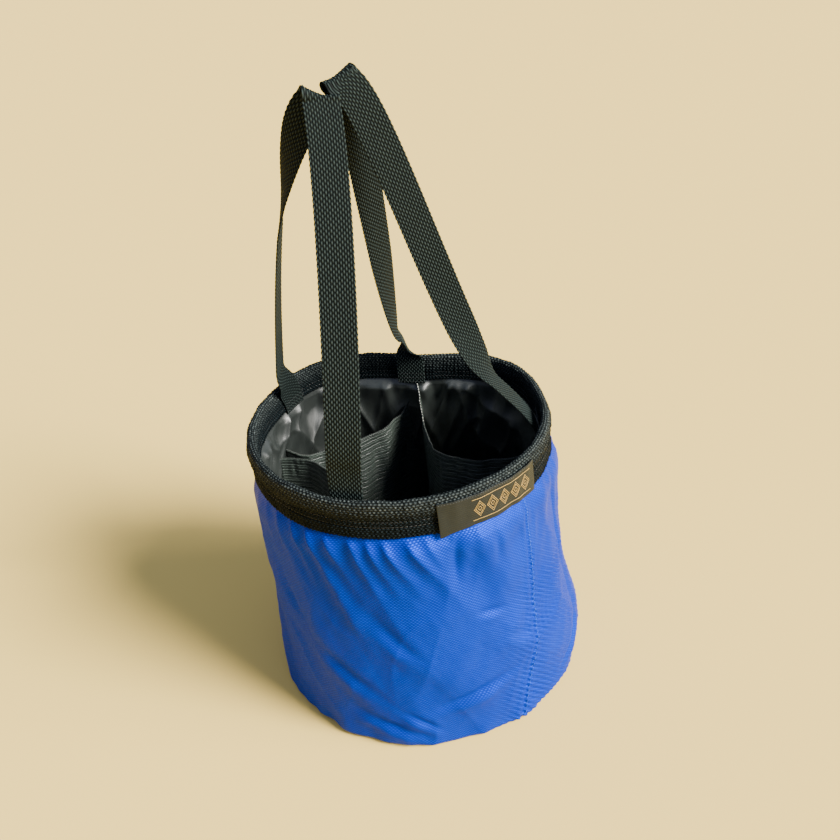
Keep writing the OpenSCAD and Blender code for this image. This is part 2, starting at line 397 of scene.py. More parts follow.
@dataclass(frozen=True)
class Cloth:
    """A woven finish.

    Attributes:
        name: The material's name.
        crown: Colour of the raised yarns.
        pit_shade: Colour between them, painted darker as the shade that falls between the yarns.
        pale: Colour that lighter patches drift to, and the colour of a painted highlight where one is set.
        drift: How far they drift.
        patch: Patches in a metre.
        gloss: Lowest and highest roughness.
        weave: The weave.
        specular: Strength of the plain reflection.
        painted_top_highlight: Heights between which the pale patches come in, a painted highlight that makes
            the top of the cloth lighter as if light fell on it.
        metal: Share of the reflection that takes the cloth's own colour, as bright nylon's does.
    """

    name: str
    crown: Colour
    pit_shade: Colour
    pale: Colour
    drift: float
    patch: float
    gloss: tuple[float, float]
    weave: Weave
    specular: float = 0.5
    painted_top_highlight: Optional[tuple[float, float]] = None
    metal: float = 0.0

    def drift_and_top_highlight(self, sheet: NodeSheet) -> object:
        """How far the colour drifts: one value, or more towards the top, where a painted highlight is set."""
        if not self.painted_top_highlight:
            return self.drift
        # Painted highlight: the pale drift grows with height, so the top is lighter as if lit.
        low, high = self.painted_top_highlight
        place = sheet.add("ShaderNodeTexCoord").outputs["Object"]
        height = sheet.add("ShaderNodeSeparateXYZ", {0: place}).outputs["Z"]
        rise = sheet.math("DIVIDE", sheet.math("SUBTRACT", height, low), high - low)
        share = sheet.add("ShaderNodeClamp", {"Value": rise}).outputs[0]
        return sheet.between(share, 0.08, self.drift)

    def build(self) -> bpy.types.Material:
        """The material, made once."""
        found = bpy.data.materials.get(self.name)
        if found:
            return found
        material, sheet, shader = new_material(self.name, self.crown)
        cloth = sheet.add("ShaderNodeTexCoord").outputs["UV"]
        weave = self.weave
        yarns = sheet.add(
            "ShaderNodeGroup",
            {"Vector": cloth, "Yarn Pitch": weave.yarn, "Row Pitch": weave.row, "Depth": weave.depth},
            node_tree=weave_group(),
        )
        tone = sheet.add(
            "ShaderNodeGroup",
            {
                "Color": rgba(self.crown),
                "Pale": rgba(self.pale),
                "Scale": self.patch,
                "Amount": self.drift_and_top_highlight(sheet),
            },
            node_tree=tone_group(),
        )
        height = yarns.outputs["Height"]
        fibre = sheet.add("ShaderNodeTexNoise", {"Vector": cloth, "Scale": 2600.0, "Detail": 3.0})
        relief = sheet.math("MULTIPLY_ADD", fibre.outputs[0], 0.3, height)
        dent = sheet.add(
            "ShaderNodeBump", {"Height": relief, "Strength": weave.strength, "Distance": weave.relief}
        )
        # Painted shade: the pits between yarns get a darker colour, though the dye is the same.
        colour = sheet.mix(height, rgba(self.pit_shade), tone.outputs["Color"])
        gloss = sheet.between(tone.outputs["Patch"], *self.gloss)
        sheet.tree.links.new(colour, shader.inputs["Base Color"])
        sheet.tree.links.new(gloss, shader.inputs["Roughness"])
        sheet.tree.links.new(dent.outputs[0], shader.inputs["Normal"])
        shader.inputs["Specular IOR Level"].default_value = self.specular
        shader.inputs["Metallic"].default_value = self.metal
        return material


@dataclass(frozen=True)
class Yarn:
    """A sewing thread's finish: its colour, its darker twist, its metal share and its roughness."""

    name: str
    colour: Colour
    shade: Colour
    metal: float
    roughness: float

    def build(self) -> bpy.types.Material:
        """The material, made once."""
        found = bpy.data.materials.get(self.name)
        if found:
            return found
        material, sheet, shader = new_material(self.name, self.colour)
        place = sheet.add("ShaderNodeTexCoord").outputs["Object"]
        twist = sheet.add("ShaderNodeTexNoise", {"Vector": place, "Scale": 1500.0, "Detail": 2.0})
        colour = sheet.mix(twist.outputs[0], rgba(self.shade), rgba(self.colour))
        dent = sheet.add("ShaderNodeBump", {"Height": twist.outputs[0], "Strength": 0.4, "Distance": 0.0003})
        gloss = sheet.between(twist.outputs[0], self.roughness - 0.1, self.roughness + 0.1)
        sheet.tree.links.new(colour, shader.inputs["Base Color"])
        sheet.tree.links.new(gloss, shader.inputs["Roughness"])
        sheet.tree.links.new(dent.outputs[0], shader.inputs["Normal"])
        shader.inputs["Metallic"].default_value = self.metal
        return material


SHELL_NYLON = Cloth(
    name="Wall nylon, royal blue",
    crown=(0.0030, 0.042, 0.520),
    pit_shade=(0.0008, 0.016, 0.250),
    pale=(0.0045, 0.060, 0.610),
    drift=0.6,
    patch=26.0,
    gloss=(0.36, 0.46),
    weave=Weave(yarn=0.0014, row=0.0015, depth=0.75, relief=0.00030, strength=0.8),
    specular=0.02,
    metal=0.30,
)
LINING_NYLON = Cloth(
    name="Lining nylon, black",
    crown=(0.0170, 0.0225, 0.0200),
    pit_shade=(0.006, 0.0075, 0.007),
    pale=(0.030, 0.038, 0.034),
    drift=0.5,
    patch=30.0,
    gloss=(0.40, 0.52),
    weave=Weave(yarn=0.0008, row=0.0008, depth=0.5, relief=0.00010, strength=0.3),
    specular=1.0,
)
POCKET_CLOTH = Cloth(
    name="Pocket cloth, ribbed black",
    crown=(0.052, 0.068, 0.058),
    pit_shade=(0.010, 0.013, 0.011),
    pale=(0.075, 0.094, 0.080),
    drift=0.5,
    patch=40.0,
    gloss=(0.34, 0.48),
    weave=Weave(yarn=0.0020, row=0.0016, depth=0.25, relief=0.0005, strength=0.7),
    specular=0.4,
)
HANDLE_WEBBING = Cloth(
    name="Handle webbing, black",
    crown=(0.0240, 0.0345, 0.0320),
    pit_shade=(0.0009, 0.0012, 0.0012),
    pale=(0.050, 0.066, 0.060),
    drift=0.4,
    patch=260.0,
    gloss=(0.45, 0.62),
    weave=Weave(yarn=0.0254 / 15, row=0.0019, depth=0.9, relief=0.0006, strength=0.9),
    specular=0.03,
)
BINDING_WEBBING = Cloth(
    name="Binding webbing, black",
    crown=(0.0064, 0.0120, 0.0145),
    pit_shade=(0.0005, 0.0008, 0.0009),
    # The pale colour is a painted highlight on the top of the rolled rim, in random patches.
    pale=(0.100, 0.118, 0.112),
    drift=1.0,
    patch=480.0,
    gloss=(0.45, 0.62),
    weave=Weave(yarn=0.0018, row=0.0015, depth=0.85, relief=0.0008, strength=1.0),
    specular=0.03,
    # Heights over which the painted highlight comes in on the roll's top.
    painted_top_highlight=(0.2255, 0.2385),
)
LABEL_SATIN = Cloth(
    name="Woven label satin, black",
    crown=(0.0095, 0.0140, 0.0150),
    pit_shade=(0.005, 0.0068, 0.0072),
    pale=(0.020, 0.026, 0.026),
    drift=0.5,
    patch=70.0,
    gloss=(0.30, 0.42),
    weave=Weave(yarn=0.0004, row=0.0006, depth=0.4, relief=0.00008, strength=0.3),
    specular=0.2,
)
INTERLINING = Cloth(
    name="Interlining felt",
    crown=(0.55, 0.54, 0.50),
    pit_shade=(0.42, 0.41, 0.38),
    pale=(0.62, 0.61, 0.57),
    drift=0.6,
    patch=120.0,
    gloss=(0.85, 0.95),
    weave=Weave(yarn=0.0007, row=0.0009, depth=0.6, relief=0.0003, strength=0.6),
)
STIFF_BOARD = Cloth(
    name="Base board, grey",
    crown=(0.16, 0.155, 0.14),
    pit_shade=(0.12, 0.115, 0.105),
    pale=(0.22, 0.21, 0.19),
    drift=0.6,
    patch=60.0,
    gloss=(0.70, 0.85),
    weave=Weave(yarn=0.0015, row=0.0021, depth=0.4, relief=0.0001, strength=0.3),
)
BLACK_THREAD = Yarn("Sewing thread, black", (0.020, 0.022, 0.021), (0.008, 0.009, 0.009), 0.0, 0.45)
DULL_THREAD = Yarn("Serging thread, dull", (0.060, 0.066, 0.058), (0.020, 0.022, 0.020), 0.0, 0.5)
PALE_THREAD = Yarn("Serging thread, pale", (0.62, 0.62, 0.55), (0.20, 0.20, 0.18), 0.0, 0.5)
BLUE_THREAD = Yarn("Seam thread, blue", (0.05, 0.17, 0.80), (0.02, 0.09, 0.62), 0.0, 0.45)
GOLD_THREAD = Yarn("Label thread, gold", (0.56, 0.37, 0.11), (0.34, 0.21, 0.05), 0.15, 0.42)


class Slot(Enum):
    """Names for the places that a finish could be swapped at; no piece is given one here."""

    SHELL = "shell_nylon"
    LINING = "lining_nylon"
    INTERLINING = "interlining"
    BOARD = "board"
    POCKET = "pocket_cloth"
    HANDLE = "handle_webbing"
    BINDING = "binding_webbing"
    LABEL = "woven_label"
    THREAD = "thread"
    BLACK_THREAD = "black_thread"


# ---- the bag's shape -----------------------------------------------------------------------------


@dataclass(frozen=True)
class BagShape:
    """The loft that every piece of the bag follows."""

    height: float
    base_radius: float = 0.133
    rim_radius: float = 0.120
    lean: tuple[float, float] = (-0.008, -0.003)
    cloth: float = 0.0008
    felt: float = 0.0016
    play: float = 0.00005
    band_out: float = 0.030
    band_in: float = 0.024
    band_cloth: float = 0.0014
    strap_cloth: float = 0.0016
    strap_bow: float = 0.0013
    foot_round: float = 0.004
    foot_tall: float = 0.006

    @property
    def stack(self) -> float:
        """Thickness of shell, interlining and lining together."""
        return 2 * self.cloth + self.felt + 2 * self.play

    @property
    def binding(self) -> float:
        """Thickness of the bound rim."""
        return 2 * self.band_cloth + self.stack + 2 * self.play

    @property
    def band_low(self) -> float:
        """Height of the binding's lower edge."""
        return self.height - self.band_out

    @property
    def stack_top(self) -> float:
        """Height that the wall's layers reach inside the binding."""
        return self.height - self.binding / 2 - self.play

    def rim(self, deg: np.ndarray) -> np.ndarray:
        """Radius of the rim's outside."""
        dent, corner, swell = bump(deg, 78, 24), bump(deg, 128, 18), bump(deg, 33, 16)
        return self.rim_radius - 0.016 * dent + 0.0065 * corner + 0.0044 * swell

    def base(self, deg: np.ndarray) -> np.ndarray:
        """Radius of the base's outside."""
        return self.base_radius + 0.003 * bump(deg, -30, 22)

    def wall(self, deg: np.ndarray, z: np.ndarray) -> np.ndarray:
        """Radius of the wall's outside."""
        share = np.clip(z / self.band_low, 0, 1)
        straight = self.base(deg) * (1 - share) + (self.rim(deg) - self.band_cloth - self.play) * share
        puff = 0.0018 * np.exp(-(((z - self.band_low + 0.016) / 0.012) ** 2)) * (z < self.band_low)
        return straight + puff - self.foot_round * (1 - np.clip(z / self.foot_tall, 0, 1)) ** 2

    def point(self, deg: np.ndarray, radius: np.ndarray, z: np.ndarray) -> np.ndarray:
        """Points at an angle, a radius and a height, about the leaning axis."""
        a = np.radians(deg)
        deg, radius, z = np.broadcast_arrays(deg, radius, z)
        x = self.lean[0] * z / self.height + radius * np.cos(a)
        y = self.lean[1] * z / self.height + radius * np.sin(a)
        return np.stack([x, y, z], axis=-1)

    def root(self, deg: float, z: float) -> np.ndarray:
        """The middle of a handle's webbing where it is sewn inside the rim."""
        inset = self.binding + self.play + self.strap_bow + self.strap_cloth / 2
        at = self.point(np.array(deg), self.rim(np.array(deg)) - inset, np.array(self.height))
        return np.array([at[0], at[1], z])


def finish_piece(
    obj: bpy.types.Object, material: bpy.types.Material, nodes: Sequence[str] = ()
) -> None:
    """Dresses a piece, and hides the solids that it stands for.

    Args:
        obj: The piece.
        material: Its finish.
        nodes: The solids that it replaces.
    """
    obj.data.materials.clear()
    obj.data.materials.append(material)
    if nodes:
        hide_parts(*nodes)
    LOG.info("%s: %d faces", obj.name, len(obj.data.polygons))


# ---- threads -------------------------------------------------------------------------------------


class ThreadRows:
    """Rows of stitches along lines, made by one geometry node tree."""

    TREE = "Thread rows"

    @classmethod
    def tree(cls) -> bpy.types.NodeTree:
        """The tree, made once: lines in, a small thread at every pitch, all realised."""
        found = bpy.data.node_groups.get(cls.TREE)
        if found:
            return found
        tree = bpy.data.node_groups.new(cls.TREE, "GeometryNodeTree")
        tree.interface.new_socket("Lines", in_out="INPUT", socket_type="NodeSocketGeometry")
        for label in ("Pitch", "Stitch Length", "Thread Radius", "Slant"):
            tree.interface.new_socket(label, in_out="INPUT", socket_type="NodeSocketFloat")
        tree.interface.new_socket("Thread", in_out="INPUT", socket_type="NodeSocketMaterial")
        tree.interface.new_socket("Geometry", in_out="OUTPUT", socket_type="NodeSocketGeometry")
        sheet = NodeSheet(tree)
        given = sheet.add("NodeGroupInput").outputs
        curve = sheet.add("GeometryNodeMeshToCurve", {"Mesh": given["Lines"]}).outputs[0]
        spaced = sheet.add(
            "GeometryNodeResampleCurve", {"Curve": curve, "Length": given["Pitch"]}, mode="LENGTH"
        )
        tangent = sheet.add("GeometryNodeInputTangent").outputs[0]
        turned = sheet.add("FunctionNodeAlignRotationToVector", {"Vector": tangent}, axis="Z")
        tilt = sheet.add("ShaderNodeCombineXYZ", {"X": given["Slant"]})
        slanted = sheet.add(
            "FunctionNodeRotateRotation",
            {"Rotation": turned.outputs[0], "Rotate By": tilt.outputs[0]},
            rotation_space="LOCAL",
        )
        random = sheet.add("FunctionNodeRandomValue", {2: 0.85, 3: 1.15, "Seed": 7}, data_type="FLOAT")
        stray = random.outputs[1]
        radius = sheet.math("MULTIPLY", given["Thread Radius"], stray)
        length = sheet.math("MULTIPLY", given["Stitch Length"], 0.5)
        size = sheet.add("ShaderNodeCombineXYZ", {"X": radius, "Y": radius, "Z": length}).outputs[0]
        grain = sheet.add("GeometryNodeMeshUVSphere", {"Segments": 8, "Rings": 6, "Radius": 1.0}).outputs[0]
        placed = sheet.add(
            "GeometryNodeInstanceOnPoints",
            {"Points": spaced.outputs[0], "Instance": grain, "Rotation": slanted.outputs[0], "Scale": size},
        )
        real = sheet.add("GeometryNodeRealizeInstances", {"Geometry": placed.outputs[0]}).outputs[0]
        soft = sheet.add("GeometryNodeSetShadeSmooth", {"Geometry": real}).outputs[0]
        dressed = sheet.add("GeometryNodeSetMaterial", {"Geometry": soft, "Material": given["Thread"]})
        out = sheet.add("NodeGroupOutput")
        tree.links.new(dressed.outputs[0], out.inputs["Geometry"])
        return tree

    def __init__(self, pitch: float, length: float, radius: float, slant: float = 0.0) -> None:
        """Keeps the stitches' sizes.

        Args:
            pitch: Distance from stitch to stitch.
            length: Length of a stitch.
            radius: Radius of the thread.
            slant: How far a stitch turns off its line, in degrees.
        """
        self.sizes = {
            "Pitch": pitch,
            "Stitch Length": length,
            "Thread Radius": radius,
            "Slant": math.radians(slant),
        }

    def sew(
        self, name: str, lines: Sequence[np.ndarray], thread: Yarn
    ) -> bpy.types.Object:
        """Sews stitches along lines.

        Args:
            name: The piece's name.
            lines: The lines, each a row of points.
            thread: The thread's finish.

        Returns:
            The stitches as one plain mesh that rides on the root body.
        """
        counts = np.cumsum([0] + [len(line) for line in lines])
        edges = [(a + k, a + k + 1) for a, line in zip(counts, lines) for k in range(len(line) - 1)]
        guide = bpy.data.meshes.new(name + "_guide")
        guide.from_pydata(np.concatenate(lines).tolist(), edges, [])
        holder = bpy.data.objects.new(name + "_guide", guide)
        bpy.context.scene.collection.objects.link(holder)
        modifier = holder.modifiers.new("Thread", "NODES")
        tree = self.tree()
        modifier.node_group = tree
        sockets = {s.name: s.identifier for s in tree.interface.items_tree if s.item_type == "SOCKET"}
        for label, value in self.sizes.items():
            modifier[sockets[label]] = value
        modifier[sockets["Thread"]] = thread.build()
        holder.update_tag()
        bpy.context.view_layer.update()
        graph = bpy.context.evaluated_depsgraph_get()
        made = bpy.data.meshes.new_from_object(holder.evaluated_get(graph), depsgraph=graph)
        holder.modifiers.clear()
        bpy.data.objects.remove(holder)
        bpy.data.meshes.remove(guide)
        made.name = name
        obj = bpy.data.objects.new(name, made)
        bpy.context.scene.collection.objects.link(obj)
        finish_piece(obj, thread.build())
        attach(obj, "root")
        return obj


# ---- wall ----------------------------------------------------------------------------------------


@dataclass
class Gather:
    """One gathered crest that runs down from the binding."""

    angle: float
    height: float
    width: float
    length: float
    slant: float

    def rise(self, deg: np.ndarray, drop: np.ndarray, radius: float) -> np.ndarray:
        """How far the crest lifts the cloth.

        Args:
            deg: Angles round the bag.
            drop: Distance below the binding.
            radius: Radius of the wall, which turns angles into distances.

        Returns:
            The lift at each place.
        """
        side = np.radians(wrap(deg - self.angle)) * radius - self.slant * drop
        width = self.width * (1 + 1.3 * np.clip(drop, 0, None) / self.length)
        crest = np.exp(-np.abs(side / width) ** 1.6)
        return self.height * crest * smooth(drop / 0.007) * np.exp(-((drop / self.length) ** 2))


@dataclass
class Crease:
    """One crease or hollow that was pressed into the wall.

    Attributes:
        angle: Its middle round the bag, in degrees.
        height: Its middle above the base, in millimetres.
        half: Half its length, in millimetres.
        width: Half its width, in millimetres.
        tilt: How far it turns off the level, in degrees.
        deep: Its depth, in millimetres.
    """

    angle: float
    height: float
    half: float
    width: float
    tilt: float
    deep: float

    def depth(self, deg: np.ndarray, z: np.ndarray, radius: float) -> np.ndarray:
        """How far the crease sinks the cloth, with a raised lip along one side.

        Args:
            deg: Angles round the bag.
            z: Heights, of the same shape.
            radius: Radius of the wall, which turns angles into distances.

        Returns:
            The depth at each place.
        """
        half, width = self.half * MM, self.width * MM
        side = np.radians(wrap(deg - self.angle)) * radius
        up = z - self.height * MM
        c, n = math.cos(math.radians(self.tilt)), math.sin(math.radians(self.tilt))
        along, across = side * c + up * n, up * c - side * n
        groove = np.exp(-((across / width) ** 2))
        lip = 0.55 * np.exp(-(((across + 1.9 * width) / (1.25 * width)) ** 2))
        return self.deep * MM * np.exp(-((along / half) ** 2)) * (groove - lip)


@dataclass
class Ripple:
    """One layer of uneven cloth.

    Attributes:
        strength: How high it stands.
        turn: How far its cells slant round the bag, in degrees for each metre up.
        cells: How many cells go round the bag.
        tall: The height of a cell.
        shift: How far the cells are turned round the bag.
        crest: Sharpness of its crests, or 0 for soft swells.
    """

    strength: float
    turn: float
    cells: int
    tall: float
    shift: float = 0.0
    crest: float = 0.0

    def lift(self, deg: np.ndarray, z: np.ndarray, noise: RingNoise) -> np.ndarray:
        """How far the layer lifts the cloth at each place."""
        value = noise.at(deg + self.turn * z + self.shift, z, self.cells, self.tall)
        if self.crest:
            value = ridge(value, self.crest) - 0.4
        return self.strength * value


@dataclass
class Wall:
    """The bag's wall: shell, interlining and lining."""

    shape: BagShape
    columns: int = 384
    rows: int = 238
    mean_radius: float = 0.126
    pucker_pitch: float = 0.0050
    shell_crowd: float = -72.0
    lining_crowd: float = 125.0
    front_gathers: tuple[Gather, ...] = (
        Gather(-170, 0.6 * MM, 3.2 * MM, 34 * MM, 0.25),
        Gather(-161, 0.8 * MM, 3.0 * MM, 30 * MM, 0.30),
        Gather(-152, 0.9 * MM, 3.0 * MM, 40 * MM, 0.32),
        Gather(-143, 1.3 * MM, 3.0 * MM, 46 * MM, 0.30),
        Gather(-134.5, 3.3 * MM, 3.1 * MM, 54 * MM, 0.32),
        Gather(-127.5, 3.1 * MM, 3.3 * MM, 84 * MM, 0.42),
        Gather(-119.5, 2.3 * MM, 2.7 * MM, 44 * MM, 0.42),
        Gather(-110.5, 3.6 * MM, 3.5 * MM, 66 * MM, 0.36),
        Gather(-104.5, 2.4 * MM, 2.6 * MM, 44 * MM, 0.40),
        Gather(-99, 3.1 * MM, 2.9 * MM, 44 * MM, 0.50),
        Gather(-91, 2.9 * MM, 3.1 * MM, 50 * MM, 0.55),
        Gather(-84.5, 1.7 * MM, 2.7 * MM, 32 * MM, 0.40),
    )
    creases: tuple[Crease, ...] = (
        Crease(-74, 52, 27, 4.4, 17, 2.8),
        Crease(-64, 128, 10, 3.5, -6, 1.2),
        Crease(-75, 186, 18, 4.0, 86, 2.2),
        Crease(-59, 188, 13, 3.6, 92, 2.0),
        Crease(-24, 38, 24, 4.0, 38, 2.2),
        Crease(-16, 78, 26, 4.2, 96, 2.0),
        Crease(-20, 150, 44, 3.4, 94, 2.2),
        Crease(-118, 74, 30, 6.0, -38, 2.3),
        Crease(-98, 116, 26, 6.0, -52, 2.1),
        Crease(-140, 120, 34, 6.5, -58, 2.0),
        Crease(-104, 24, 24, 4.6, -24, 2.2),
        Crease(-52, 92, 16, 5.0, -30, 1.2),
        Crease(-93, 30, 14, 3.2, -40, 1.8),
    )
    ripples: tuple[Ripple, ...] = (
        Ripple(0.0021, 170.0, 17, 0.085),
        Ripple(0.0013, 170.0, 31, 0.050, shift=30.0),
        Ripple(0.0013, 215.0, 24, 0.080, crest=2.6),
        Ripple(0.0007, -150.0, 30, 0.050, crest=3.0),
        Ripple(0.00055, -230.0, 63, 0.026),
        Ripple(0.00016, 170.0, 150, 0.011),
    )

    def seam_angle(self, z: np.ndarray) -> np.ndarray:
        """Where the side seam runs at a height."""
        heights = [0.0, 0.03, 0.08, 0.18, 0.24]
        return np.interp(z, heights, [-58.0, -54.5, -47.5, -44.5, -43.5])

    def around(self, crowded: float) -> np.ndarray:
        """The angles of the columns, closest together round one angle, where the gathers are sharpest."""
        fine = np.linspace(-180, 180, 3601)
        crowd = 1 + 2.2 * bump(fine, crowded, 78)
        share = np.concatenate([[0.0], np.cumsum((crowd[1:] + crowd[:-1]) / 2)])
        return np.interp(np.linspace(0, share[-1], self.columns, endpoint=False), share, fine)

    def gathers(self, noise: RingNoise) -> list[Gather]:
        """The crests below the binding: the high ones at the front left, then the rest, strewn."""
        found = list(self.front_gathers)
        angle = -80.0
        while angle < 190.0:
            draw = noise.rng.uniform(0, 1, 5)
            calm = float(bump(np.array(angle), -40, 26))
            height = (0.0009 - 0.0004 * calm) * (0.5 + 1.1 * draw[0])
            width, length = 0.0024 + 0.0018 * draw[2], 0.022 + 0.040 * draw[3]
            found.append(Gather(angle, height, width, length, 0.5 * (draw[1] - 0.5)))
            angle += 5.5 + 4.5 * draw[4]
        for k in range(13):
            draw = noise.rng.uniform(0, 1, 4)
            angle = -175 + 27 * k
            slant = 0.45 * float(bump(np.array(angle), -120, 60)) + 0.4 * (draw[1] - 0.5)
            height, width, length = 0.0010 + 0.0014 * draw[2], 0.0070 + 0.005 * draw[3], 0.10 + 0.05 * draw[2]
            found.append(Gather(angle + 9 * draw[0], height, width, length, slant))
        return found

    def seam_lift(self, deg: np.ndarray, z: np.ndarray, noise: RingNoise) -> np.ndarray:
        """The side seam's groove, the ridges beside it and the puckers that its thread draws."""
        side = np.radians(wrap(deg - self.seam_angle(z))) * self.mean_radius
        groove = 0.0011 * np.exp(-((side / 0.0014) ** 2))
        ridges = 0.0006 * np.exp(-(((np.abs(side) - 0.0042) / 0.0024) ** 2))
        wobble = 1.6 * noise.at(deg, z, 40, 0.03)
        pucker = np.sin(2 * math.pi * (z + 0.88 * side) / self.pucker_pitch + wobble)
        reach = np.where(side > 0, np.exp(-side / 0.090), np.exp(side / 0.013))
        lower = 0.35 + 0.65 * smooth((0.165 - z) / 0.05)
        strength = 0.00095 * reach * lower * (0.75 + 0.5 * noise.at(deg, z, 30, 0.02))
        return ridges - groove + strength * pucker

    def folds(self, deg: np.ndarray, z: np.ndarray) -> np.ndarray:
        """How far the shell stands off its loft: gathers, ripples, creases, bulges and seam puckers.

        Args:
            deg: Angles round the bag.
            z: Heights.

        Returns:
            The outward offset at each place.
        """
        noise = RingNoise(11)
        drop = self.shape.band_low - z
        lift = np.zeros_like(deg)
        for gather in self.gathers(noise):
            lift += gather.rise(deg, drop, self.mean_radius)
        free = smooth(drop / 0.012)
        for ripple in self.ripples:
            lift += free * ripple.lift(deg, z, noise)
        low = np.exp(-((z / 0.020) ** 2))
        lift += 0.0008 * low * noise.at(deg, z * 0.25, 80, 0.02) * smooth(z / 0.004)
        lift += 0.0022 * bump(deg, -38, 16) * np.exp(-(((z - 0.055) / 0.05) ** 2))
        for crease in self.creases:
            lift -= crease.depth(deg, z, self.mean_radius) * smooth(z / 0.01)
        lift += free * self.seam_lift(deg, z, noise)
        lift += 0.0050 * bump(deg, -12, 20) * np.exp(-(((z - 0.036) / 0.028) ** 2))
        lift -= 0.0022 * bump(deg, -12, 18) * np.exp(-(((z - 0.120) / 0.045) ** 2)) * free
        flat_left = 0.75 * bump(deg, 180, 32) * np.exp(-((drop / 0.035) ** 2))
        lift = (lift + 0.0018 * free) * (1 - flat_left)
        return np.clip(lift, -0.0007, 0.0095)

    def ring(self, name: str, face: np.ndarray, back: np.ndarray) -> bpy.types.Object:
        """A closed ring of cloth from its showing face and its hidden face, both as rows up the wall."""
        section = np.concatenate([face, back[::-1]], axis=0)
        return sweep(name, np.swapaxes(section, 0, 1), closed=True)

    def layer(
        self, heights: np.ndarray, inset: float, crowded: float, offset: Optional[np.ndarray] = None
    ) -> np.ndarray:
        """Rows of points up the wall.

        Args:
            heights: The height of each row.
            inset: How far the rows are set in from the wall's outside.
            crowded: The angle that the columns crowd round.
            offset: How far each point then moves outwards.

        Returns:
            The points, by row and column.
        """
        a, z = np.meshgrid(self.around(crowded), heights)
        radius = self.shape.wall(a, z) - inset
        if offset is not None:
            radius = radius + offset
        return self.shape.point(a, radius, z)

    def shell(self) -> bpy.types.Object:
        """The blue shell with its gathers, folds and side seam."""
        shape = self.shape
        foot = np.array([0.0, 0.0006, 0.0014, 0.0024, 0.0036, 0.005])
        body = np.linspace(0.006, shape.band_low + 0.004, self.rows)
        heights = np.concatenate([foot, body, [shape.band_low + 0.014, shape.stack_top]])
        a, z = np.meshgrid(self.around(self.shell_crowd), heights)
        face = self.layer(heights, 0.0, self.shell_crowd, self.folds(a, z))
        levels = np.array([0.0, 0.0035, 0.006, 0.06, 0.14, 0.19, 0.205, shape.band_low, shape.stack_top])
        back = self.layer(levels, shape.cloth, self.shell_crowd)
        obj = self.ring("shell", face, back)
        finish_piece(obj, SHELL_NYLON.build(), ["shell_wall"])
        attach(obj, "root")
        return obj

    def interlining(self) -> bpy.types.Object:
        """The soft layer inside the wall."""
        shape = self.shape
        heights = np.linspace(shape.cloth + 0.003, shape.stack_top, 40)
        deep = shape.cloth + shape.play
        face = self.layer(heights, deep + 0.0002, self.shell_crowd)
        back = self.layer(heights, deep + shape.felt - 0.0002, self.shell_crowd)
        obj = self.ring("interlining", face, back)
        finish_piece(obj, INTERLINING.build(), ["wall_interlining"])
        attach(obj, "root")
        return obj

    def lining_folds(self, deg: np.ndarray, z: np.ndarray) -> np.ndarray:
        """How far the lining stands in from the wall: hanging folds, and puckers under the binding."""
        noise = RingNoise(23)
        drop = self.shape.height - self.shape.band_in - z
        free = smooth(drop / 0.010)
        turn = deg + 60.0 * z
        folds = 0.0026 * (0.5 + 0.5 * noise.at(turn, z, 40, 0.13)) + 0.0018 * noise.at(turn, z, 74, 0.07)
        folds += 0.0046 * ridge(noise.at(deg - 170 * z, z, 34, 0.055), 2.0)
        folds += 0.0034 * ridge(noise.at(deg + 240 * z, z, 46, 0.040), 2.2)
        pucker = 0.0024 * np.exp(-((drop / 0.022) ** 2)) * noise.at(deg, z * 0.3, 80, 0.03)
        crumple = 0.0007 * noise.at(deg + 90 * z, z, 130, 0.016)
        low = smooth((z - 0.010) / 0.02)
        return free * np.clip(folds + pucker + crumple - 0.0008, 0.0, 0.0105) * low

    def lining(self) -> bpy.types.Object:
        """The black lining, whose inside face shows."""
        shape = self.shape
        bottom = shape.cloth + 2 * shape.play + 0.0025
        heights = np.concatenate([np.linspace(bottom, 0.218, 190), [0.225, shape.stack_top]])
        a, z = np.meshgrid(self.around(self.lining_crowd), heights)
        face = self.layer(heights, shape.stack, self.lining_crowd, -self.lining_folds(a, z))
        levels = np.array([bottom, 0.06, 0.14, 0.2, shape.stack_top])
        back = self.layer(levels, shape.stack - shape.cloth, self.lining_crowd)
        obj = self.ring("lining", face, back)
        finish_piece(obj, LINING_NYLON.build(), ["lining_wall"])
        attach(obj, "root")
        return obj

    def seam_thread(self) -> bpy.types.Object:
        """The stitches down the side seam."""
        shape = self.shape
        z = np.linspace(0.006, shape.band_low - 0.001, 160)
        deg = self.seam_angle(z) + math.degrees(0.0023 / self.mean_radius)
        line = shape.point(deg, shape.wall(deg, z) + self.folds(deg, z) + 0.00005, z)
        return ThreadRows(0.0030, 0.0023, 0.00022).sew("side_seam_thread", [line], BLUE_THREAD)

    def build(self) -> None:
        """Makes the wall's pieces."""
        self.shell()
        self.interlining()
        self.lining()
        self.seam_thread()


